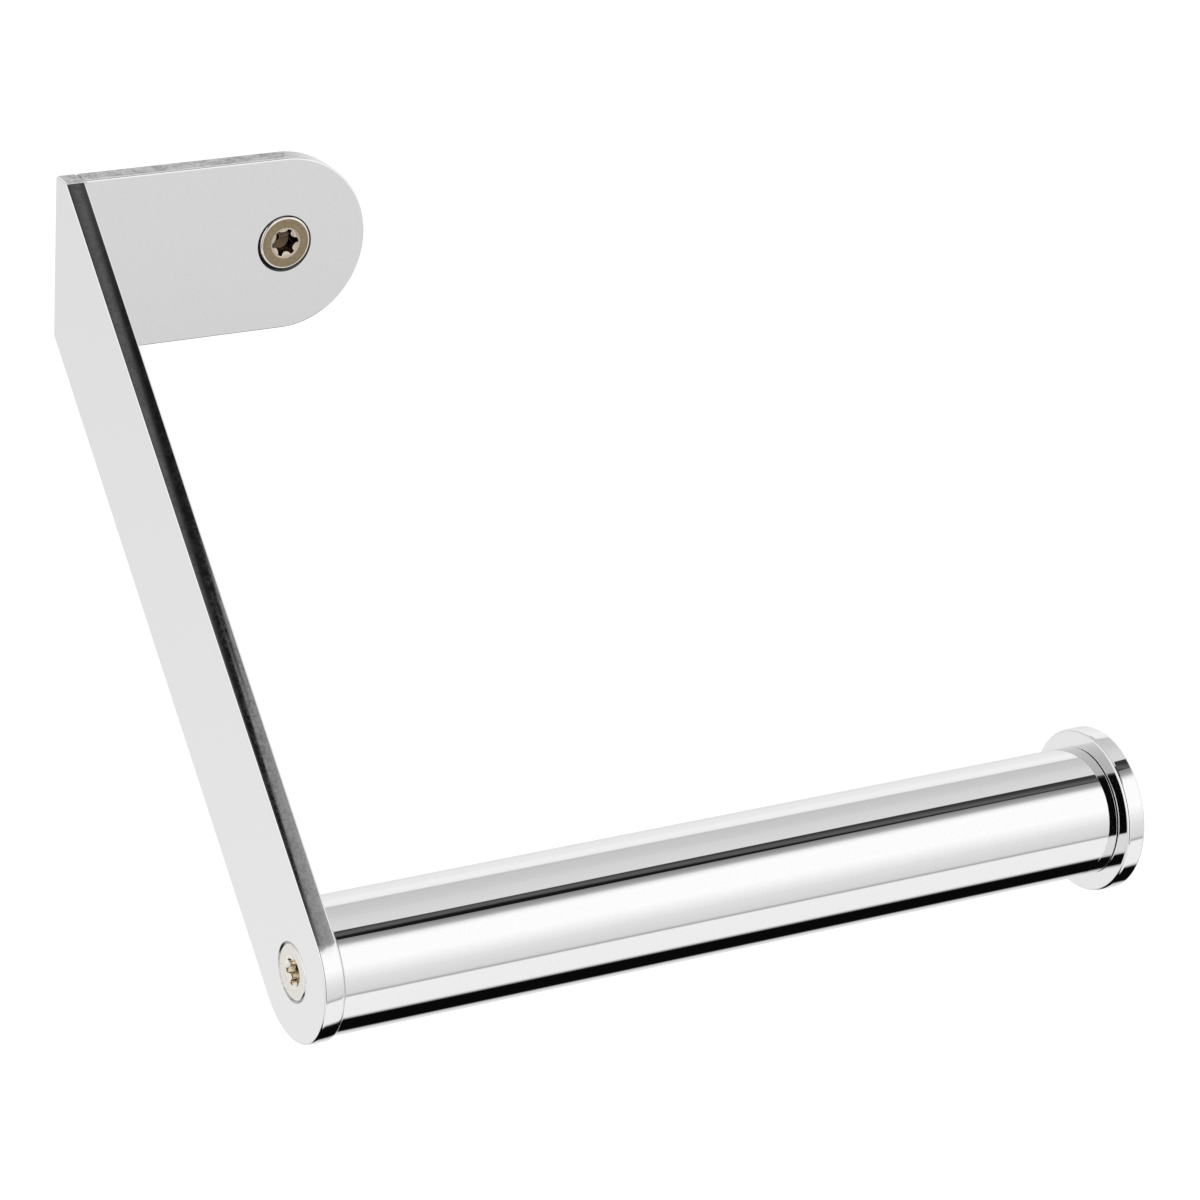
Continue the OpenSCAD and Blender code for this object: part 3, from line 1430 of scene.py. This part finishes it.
@dataclass
class SixLobeSocket:
    """Six-lobed socket with a cone at its mouth and a drilled bottom."""

    lobes: int = 6
    lobes_d: float = 4.8 * MM
    waist_d: float = 3.4 * MM
    mouth_d: float = 5.4 * MM
    mouth_depth: float = 0.55 * MM
    depth: float = 2.0 * MM
    flute_r: float = 0.9 * MM
    flute_from: float = -1 * MM
    flute_to: float = 4 * MM
    flute_facets: int = 48
    drill_r: float = 1.5 * MM
    drill_from: float = -0.2 * MM
    drill_edge: float = 0.15 * MM
    drill_tip: float = 0.6 * MM
    drill_tip_r: float = 0.02 * MM
    drill_facets: int = 64
    overrun: float = 0.6 * MM

    def tool(self, turn_deg: float) -> bpy.types.Object:
        """Makes the solid that cuts the socket.

        Args:
            turn_deg: How far the lobes are turned about the axis.

        Returns:
            A solid about Z, with the socket's mouth at the origin.
        """
        lobes_r = self.lobes_d / 2
        bit = turned("socket tool", [(lobes_r, -self.overrun), (lobes_r, self.depth)])
        flutes = self._flutes()
        combine(bit, flutes, Cut.AWAY)
        face_outwards(bit)
        drill = turned(
            "drill tool",
            [
                (self.drill_r, self.depth + self.drill_from),
                (self.drill_r, self.depth + self.drill_edge),
                (self.drill_tip_r, self.depth + self.drill_tip),
            ],
            self.drill_facets,
        )
        combine(bit, drill, Cut.JOIN)
        slope = (self.mouth_d - self.waist_d) / 2 / self.mouth_depth
        mouth = turned(
            "mouth tool",
            [
                (self.mouth_d / 2 + slope * self.overrun, -self.overrun),
                (self.waist_d / 2, self.mouth_depth),
            ],
        )
        combine(bit, mouth, Cut.JOIN)
        face_outwards(bit)
        place(bit, Matrix.Rotation(math.radians(turn_deg), 3, "Z"), (0, 0, 0))
        return bit

    def _flutes(self) -> bpy.types.Object:
        """Makes the round rods that leave the ribs between the lobes.

        Returns:
            The rods, as one object.
        """
        outline = [(self.flute_r, self.flute_from), (self.flute_r, self.flute_to)]
        rod = turned("flute", outline, self.flute_facets)
        place(rod, Matrix.Identity(3), (self.waist_d / 2 + self.flute_r, 0, 0))
        copies = []
        for step in range(self.lobes):
            copy = rod.copy()
            copy.data = rod.data.copy()
            bpy.context.collection.objects.link(copy)
            angle = (step + 0.5) * 360 / self.lobes
            copy.matrix_world = Matrix.Rotation(math.radians(angle), 4, "Z")
            copies.append(copy)
        bpy.data.objects.remove(rod, do_unlink=True)
        bpy.ops.object.select_all(action="DESELECT")
        for copy in copies:
            copy.select_set(True)
        bpy.context.view_layer.objects.active = copies[0]
        bpy.ops.object.join()
        flutes = bpy.context.view_layer.objects.active
        settle(flutes)
        return flutes


@dataclass
class CountersunkScrew:
    """Countersunk screw with a six-lobed socket, made about Z with its head at the origin."""

    name: str
    node: str
    slot: str
    length: float
    neck_end: float
    pitch: float
    root_r: float
    point: float
    tip_r: float
    socket_turn: float
    turn: Matrix
    at: Point
    finishes: tuple[Finish, ...]
    head_r: float = 4.6 * MM
    head_facets: int = 160
    rim: float = 0.42 * MM
    rim_round: float = 0.4 * MM
    rim_steps: int = 5
    neck_r: float = 2.3 * MM
    thread_r: float = 2.5 * MM
    thread_lead: float = 0.6 * MM
    thread_facets: int = 48
    runout_from: float = -0.3 * MM
    runout_to: float = 0.5 * MM
    runout_inset: float = 0.4 * MM
    spare: float = 0.1 * MM
    tip_trim: float = 0.01 * MM
    envelope_facets: int = 96
    proud: float = 0.25 * MM
    socket_reach: float = 3 * MM
    socket_share: float = 0.6
    face_slack: float = 1e-5
    mouth_tilt: float = 0.6
    shade_deg: float = 35
    socket: SixLobeSocket = field(default_factory=SixLobeSocket)

    @property
    def axis(self) -> Vector:
        """Direction from the head to the point."""
        return self.turn @ Vector((0, 0, 1))

    def head(self) -> bpy.types.Object:
        """Models the head and neck.

        Returns:
            The head, with its edge rounded.
        """
        outline = []
        for step in range(self.rim_steps + 1):
            angle = math.radians(90) * step / self.rim_steps
            radius = self.head_r - self.rim_round * (1 - math.sin(angle))
            outline.append((radius, self.rim_round * (1 - math.cos(angle)) - self.proud))
        cone_end = self.rim + self.head_r - self.neck_r
        outline += [(self.head_r, self.rim), (self.neck_r, cone_end), (self.neck_r, self.neck_end)]
        return turned(self.name, outline, self.head_facets)

    def build(self) -> bpy.types.Object:
        """Models the screw and puts it in its seat.

        Returns:
            The piece.
        """
        piece = self.head()
        thread = Thread(
            self.thread_r,
            self.root_r,
            self.pitch,
            self.neck_end - self.thread_lead,
            self.length,
            self.thread_facets,
        ).build()
        envelope = turned(
            "point tool",
            [
                (self.root_r - self.runout_inset, self.neck_end + self.runout_from),
                (self.thread_r + self.spare, self.neck_end + self.runout_to),
                (self.thread_r + self.spare, self.length - self.point),
                (self.tip_r, self.length - self.tip_trim),
            ],
            self.envelope_facets,
        )
        combine(thread, envelope, Cut.KEEP)
        combine(piece, thread, Cut.JOIN)
        socket_tool = self.socket.tool(self.socket_turn)
        place(socket_tool, Matrix.Identity(3), (0, 0, -self.proud))
        combine(piece, socket_tool, Cut.AWAY)
        face_outwards(piece)
        place(piece, self.turn, self.at)
        smooth(piece, self.shade_deg)
        return piece

    def on_rim(self, middle: Vector, normal: Vector) -> bool:
        """Says whether a face lies on the rounded edge of the head."""
        depth, from_axis = self._depth_and_radius(middle)
        return depth < self.rim and from_axis > self.head_r - self.rim_round

    def in_socket(self, middle: Vector, normal: Vector) -> bool:
        """Says whether a face lies in the socket.

        Args:
            middle: Middle of the face.
            normal: Normal of the face; not used.

        Returns:
            True below the head's face and near its axis.
        """
        depth, from_axis = self._depth_and_radius(middle)
        below_face = self.face_slack - self.proud < depth < self.socket_reach
        return from_axis < self.socket_share * self.socket.mouth_d and below_face

    def on_mouth(self, middle: Vector, normal: Vector) -> bool:
        """Says whether a face lies on the cone at the socket's mouth.

        Args:
            middle: Middle of the face.
            normal: Normal of the face.

        Returns:
            True on the cone, but not on the drilled bottom.
        """
        depth, _ = self._depth_and_radius(middle)
        on_cone = depth < self.socket.mouth_depth and -normal.dot(self.axis) > self.mouth_tilt
        return on_cone and self.in_socket(middle, normal)

    def _depth_and_radius(self, at: Vector) -> tuple[float, float]:
        """Measures a point from the middle of the head.

        Args:
            at: The point.

        Returns:
            Its depth below the head's face and its distance from the axis.
        """
        axis = self.axis
        from_head = at - Vector(self.at)
        depth = from_head.dot(axis)
        return depth, (from_head - axis * depth).length

    def dress(self, piece: bpy.types.Object, effects: Effects) -> None:
        """Finishes the screw with rim, socket and mouth apart, which hold painted highlight and
        shade on the wall screw.

        Args:
            piece: The screw.
            effects: The shared effects.
        """
        give_slots(piece, self.on_rim, self.in_socket, self.on_mouth)
        hand_in(piece, Body.BRACKET, self.node, materials_of(self.finishes, effects))


@dataclass
class InsideParts:
    """Pieces inside the roller, whose frame meshes stay and only get their finish."""

    steel: tuple[str, ...] = ("spindle", "locating_pin", "end_stud")
    nylon: tuple[str, ...] = ("left_washer", "right_washer", "left_bush", "right_bush")

    def dress(self, nodes: dict[str, bpy.types.Object], effects: Effects) -> None:
        """Gives each node its material.

        Args:
            nodes: The frame's objects by name.
            effects: The shared effects.
        """
        axis = RollerAxis.of_frame()
        finishes = (replace(STEEL, centre=(0, axis.y, axis.z)), NYLON)
        steel, nylon = materials_of(finishes, effects)
        for names, material in ((self.steel, steel), (self.nylon, nylon)):
            for name in names:
                for slot in nodes[name].material_slots:
                    slot.material = material
                LOG.info("%s keeps its mesh, in %s", name, material.name)


# ---------------------------------------------------------------------------------------------
# Studio
# ---------------------------------------------------------------------------------------------


def linear(shade: float) -> float:
    """Turns a display grey from 0 to 255 into a linear one."""
    value = shade / 255
    return value / 12.92 if value <= 0.04045 else ((value + 0.055) / 1.055) ** 2.4


@dataclass(frozen=True)
class LightRing:
    """Brightness of the studio all round the X axis.

    Each stop is an angle in degrees and a display grey. 0 is straight out from the wall, 90 is up,
    180 is into the wall and -90 is down.
    """

    name: str
    stops: tuple[tuple[float, float], ...]


RIGHT_SIDE = LightRing(
    "right side",
    (
        (-180, 226), (-150, 218), (-134, 218), (-128, 224), (-124, 218), (-116, 187), (-113, 131),
        (-110, 9), (-75, 9), (-71.6, 190), (-68, 238), (-30, 239), (-28.6, 232), (-27.4, 136),
        (-25.8, 182), (-23.5, 208), (-21, 214), (-19, 215), (-3, 225), (0, 229), (13, 245),
        (22, 254), (52.5, 254), (55.5, 246), (57, 239), (58.5, 228), (60, 208), (61.5, 182),
        (63, 166), (66, 150), (69, 138), (79, 132), (82, 214), (88, 217), (105, 212), (112, 205),
        (120, 201), (132.6, 198), (134, 184), (135.4, 200), (139, 238), (150, 242), (164, 232),
        (174, 232), (180, 229),
    ),
)

DARK_GAP = LightRing(
    "dark gap",
    (
        (-180, 20), (0, 20), (74, 22), (75, 52), (76.5, 90), (79.5, 90), (81, 78), (82.5, 68),
        (84.5, 54), (180, 50),
    ),
)

LEFT_SIDE = LightRing(
    "left side",
    (
        (-180, 212), (-160, 223), (-149, 231), (-132, 236), (-124, 220), (-116, 180), (-109, 9),
        (-75, 9), (-71, 200), (-66, 228), (-30, 228), (-27, 12), (0, 8), (80, 12), (84, 70),
        (87, 186), (120, 190), (150, 200), (180, 212),
    ),
)

FAR_LEFT = LightRing(
    "far left",
    (
        (-180, 230), (-110, 214), (-75, 206), (-30, 246), (0, 254), (90, 254), (130, 236),
        (180, 230),
    ),
)

FAR_RIGHT = LightRing(
    "far right",
    (
        (-180, 224), (-120, 205), (-60, 205), (-20, 226), (20, 244), (90, 236), (130, 226),
        (180, 224),
    ),
)


@dataclass
class Studio:
    """Camera, light and floor."""

    camera_at: Point = (-0.32722, -0.65495, 0.24948)
    camera_right: Point = (0.8673107, -0.4940894, 0.0603971)
    camera_down: Point = (-0.1467016, -0.3696713, -0.9175085)
    lens: float = 137.10
    sensor: float = 36.0
    clip_from: float = 0.01
    floor_z: float = -0.75
    floor_size: float = 60.0
    floor_grey: float = 0.93
    floor_roughness: float = 0.9
    backdrop_grey: float = 0.93
    strength: float = 1.1
    lamp_at: Point = (0, -1, 2)
    lamp_energy: float = 1.62
    lamp_spread_deg: float = 120
    lamp_tilt_deg: float = 20
    side_start: float = -0.36
    side_end: float = -0.30
    far_left_start: float = -0.62
    far_left_end: float = -0.72
    far_right_start: float = 0.64
    far_right_end: float = 0.80
    slant_deg: float = 54.0
    slant_middle: float = 0.485
    slant_left: float = 0.18
    slant_right: float = 0.14
    slant_in: tuple[float, float] = (20.0, 45.0)
    slant_out: tuple[float, float] = (125.0, 100.0)
    lead_deg: float = 2.0
    lead_start: float = 0.44
    lead_end: float = 0.40
    bend_at: float = 0.45
    bend_least: float = 0.25
    gap_from: float = 69.7
    gap_to: float = 84.8
    gap_blur: float = 1.2

    def camera(self) -> None:
        """Adds the camera."""
        bpy.ops.object.select_all(action="DESELECT")
        bpy.ops.object.camera_add(location=self.camera_at)
        camera = bpy.context.view_layer.objects.active
        camera.name = "camera"
        right = Vector(self.camera_right).normalized()
        back = right.cross(-Vector(self.camera_down)).normalized()
        up = back.cross(right)
        turn = Matrix((right, up, back)).transposed()
        camera.matrix_world = Matrix.Translation(self.camera_at) @ turn.to_4x4()
        camera.data.lens = self.lens
        camera.data.sensor_width = self.sensor
        camera.data.clip_start = self.clip_from
        bpy.context.scene.camera = camera

    @staticmethod
    def _ring(
        wiring: Wiring, angle: bpy.types.NodeSocket, ring: LightRing
    ) -> bpy.types.NodeSocket:
        """Adds the brightness of one light ring.

        A ring has more stops than one ramp holds, so its lower and upper halves have a ramp each.

        Args:
            wiring: The world's tree.
            angle: Angle about the X axis, from -180 to 180 degrees.
            ring: The ring.

        Returns:
            Its colour.
        """
        position = wiring.spread(angle, -180.0, 180.0)
        stops = [((at + 180) / 360, linear(shade)) for at, shade in ring.stops]
        low = wiring.ramp(position, [stop for stop in stops if stop[0] <= 0.5])
        high = wiring.ramp(position, [stop for stop in stops if stop[0] >= 0.5])
        whole = wiring.mix(wiring.math("GREATER_THAN", position, 0.5), low, high)
        whole.node.label = ring.name
        return whole

    def _slanted(
        self, wiring: Wiring, angle: bpy.types.NodeSocket, sideways: bpy.types.NodeSocket
    ) -> bpy.types.NodeSocket:
        """Slants the lights above the holder, which don't run quite along the wall.

        Args:
            wiring: The world's tree.
            angle: Angle about the X axis, in degrees.
            sideways: The X component of the direction.

        Returns:
            The angle on a ring that is slanted between the front and the top.
        """
        clamp = wiring.node("Clamp")
        wiring.feed(clamp.inputs["Value"], sideways)
        clamp.inputs["Min"].default_value = self.slant_middle - self.slant_left
        clamp.inputs["Max"].default_value = self.slant_middle + self.slant_right
        away = wiring.math("SUBTRACT", clamp.outputs[0], self.slant_middle)
        slant = wiring.math("MULTIPLY", away, self.slant_deg)
        on_left = wiring.ease(sideways, self.lead_start, self.lead_end)
        shift = wiring.math("ADD", slant, wiring.math("MULTIPLY", on_left, self.lead_deg))
        above = wiring.math(
            "MULTIPLY", wiring.ease(angle, *self.slant_in), wiring.ease(angle, *self.slant_out)
        )
        return wiring.math("SUBTRACT", angle, wiring.math("MULTIPLY", shift, above))

    def _right_side(
        self, wiring: Wiring, angle: bpy.types.NodeSocket, sideways: bpy.types.NodeSocket
    ) -> bpy.types.NodeSocket:
        """Adds the lights to the right, with the dark gap in them.

        Args:
            wiring: The world's tree.
            angle: Angle about the X axis, in degrees.
            sideways: The X component of the direction.

        Returns:
            Their colour.
        """
        slanted = self._slanted(wiring, angle, sideways)
        lights = self._ring(wiring, slanted, RIGHT_SIDE)
        held = wiring.math("MAXIMUM", sideways, self.bend_least)
        bend = wiring.math("MAXIMUM", wiring.math("SUBTRACT", self.bend_at, held), 0.0)
        bent = wiring.math("ADD", angle, wiring.math("MULTIPLY", bend, self.slant_deg))
        dark = self._ring(wiring, bent, DARK_GAP)
        inside = wiring.math(
            "MULTIPLY",
            wiring.ease(slanted, self.gap_from, self.gap_from + self.gap_blur),
            wiring.ease(slanted, self.gap_to + self.gap_blur, self.gap_to),
        )
        near = wiring.mix(inside, lights, dark)
        is_far = wiring.ease(sideways, self.far_right_start, self.far_right_end)
        return wiring.mix(is_far, near, self._ring(wiring, angle, FAR_RIGHT))

    def _left_side(
        self, wiring: Wiring, angle: bpy.types.NodeSocket, sideways: bpy.types.NodeSocket
    ) -> bpy.types.NodeSocket:
        """Adds the lights to the left.

        Args:
            wiring: The world's tree.
            angle: Angle about the X axis, in degrees.
            sideways: The X component of the direction.

        Returns:
            Their colour.
        """
        near = self._ring(wiring, angle, LEFT_SIDE)
        is_far = wiring.ease(sideways, self.far_left_start, self.far_left_end)
        return wiring.mix(is_far, near, self._ring(wiring, angle, FAR_LEFT))

    def world(self) -> None:
        """Adds the studio's surroundings: long soft lights with dark gaps, and a pale backdrop."""
        world = bpy.data.worlds.new("studio")
        bpy.context.scene.world = world
        world.use_nodes = True
        wiring = Wiring(world.node_tree)
        direction = wiring.node("TexCoord").outputs["Generated"]
        sideways, inwards, up = wiring.split(direction)
        angle = wiring.math("ARCTAN2", up, wiring.math("MULTIPLY", inwards, -1.0))
        angle = wiring.math("DEGREES", angle)
        left = self._left_side(wiring, angle, sideways)
        right = self._right_side(wiring, angle, sideways)
        lights = wiring.mix(wiring.ease(sideways, self.side_start, self.side_end), left, right)
        by_camera = wiring.node("LightPath").outputs["Is Camera Ray"]
        seen = wiring.mix(by_camera, lights, (*grey(self.backdrop_grey), 1))
        background = wiring.tree.nodes["Background"]
        wiring.feed(background.inputs["Color"], seen)
        background.inputs["Strength"].default_value = self.strength

    def light(self) -> None:
        """Adds one broad soft light from above, which the chrome doesn't mirror."""
        bpy.ops.object.select_all(action="DESELECT")
        tilt = (math.radians(self.lamp_tilt_deg), 0, 0)
        bpy.ops.object.light_add(type="SUN", location=self.lamp_at, rotation=tilt)
        lamp = bpy.context.view_layer.objects.active
        lamp.name = "soft light"
        lamp.data.energy = self.lamp_energy
        lamp.data.angle = math.radians(self.lamp_spread_deg)
        lamp.visible_glossy = False

    def floor(self) -> None:
        """Adds the floor far below the holder."""
        bpy.ops.object.select_all(action="DESELECT")
        bpy.ops.mesh.primitive_plane_add(size=self.floor_size, location=(0, 0, self.floor_z))
        floor = bpy.context.view_layer.objects.active
        floor.name = "floor"
        material = bpy.data.materials.new("pale floor")
        material.use_nodes = True
        shader = material.node_tree.nodes["Principled BSDF"]
        shader.inputs["Base Color"].default_value = (*grey(self.floor_grey), 1)
        shader.inputs["Roughness"].default_value = self.floor_roughness
        shader.inputs["Specular IOR Level"].default_value = 0.0
        floor.data.materials.append(material)
        floor.visible_glossy = False

    def build(self) -> None:
        """Sets the whole studio up."""
        bpy.context.scene.view_settings.view_transform = "Standard"
        self.camera()
        self.world()
        self.light()
        self.floor()
        LOG.info("studio ready")


# ---------------------------------------------------------------------------------------------
# Whole holder
# ---------------------------------------------------------------------------------------------


@dataclass
class Holder:
    """The whole toilet paper holder."""

    nodes: dict[str, bpy.types.Object]
    effects: Effects = field(default_factory=Effects)
    wall_screw_off: tuple[float, float] = (0.08 * MM, 0.15 * MM)

    def screws(self) -> tuple[CountersunkScrew, CountersunkScrew]:
        """Describes the two screws.

        Returns:
            The wall screw and the arm screw.
        """
        axis = RollerAxis.of_frame()
        wall_low, wall_high = corners("wall_screw")
        arm_low, arm_high = corners("arm_screw")
        wall = CountersunkScrew(
            name="wall_screw_body",
            node="wall_screw",
            slot="wall_screw_nickel",
            length=wall_high.y - wall_low.y,
            neck_end=-corners("wall_plate")[0].y,
            pitch=2.2 * MM,
            root_r=1.65 * MM,
            point=5 * MM,
            tip_r=0.3 * MM,
            socket_turn=-8,
            turn=INTO_WALL,
            at=(self.wall_screw_off[0], wall_low.y, self.wall_screw_off[1]),
            finishes=WALL_SCREW_FINISHES,
        )
        nickel, *others = ARM_SCREW_FINISHES
        arm = CountersunkScrew(
            name="arm_screw_body",
            node="arm_screw",
            slot="arm_screw_nickel",
            length=arm_high.x - arm_low.x,
            neck_end=corners("side_arm")[1].x - arm_low.x,
            pitch=0.8 * MM,
            root_r=2.07 * MM,
            point=0.6 * MM,
            tip_r=1.9 * MM,
            socket_turn=13,
            turn=ALONG_X,
            at=(arm_low.x, axis.y, axis.z),
            finishes=(replace(nickel, centre=(0, axis.y, axis.z)), *others),
            proud=0.02 * MM,
            thread_facets=32,
        )
        return wall, arm

    def make(self) -> None:
        """Builds and dresses every piece."""
        outer = (WallPlate.of_frame(), SideArm.of_frame(), RollerTube.of_frame())
        for maker in (*outer, EndDisc.of_frame(), *self.screws()):
            maker.dress(maker.build(), self.effects)
        InsideParts().dress(self.nodes, self.effects)


def main() -> None:
    """Builds the holder around its frame."""
    logging.basicConfig(level=logging.INFO, format="%(name)s: %(message)s")
    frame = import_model()
    Studio().build()
    Holder(frame["nodes"]).make()


if __name__ == "__main__":
    main()
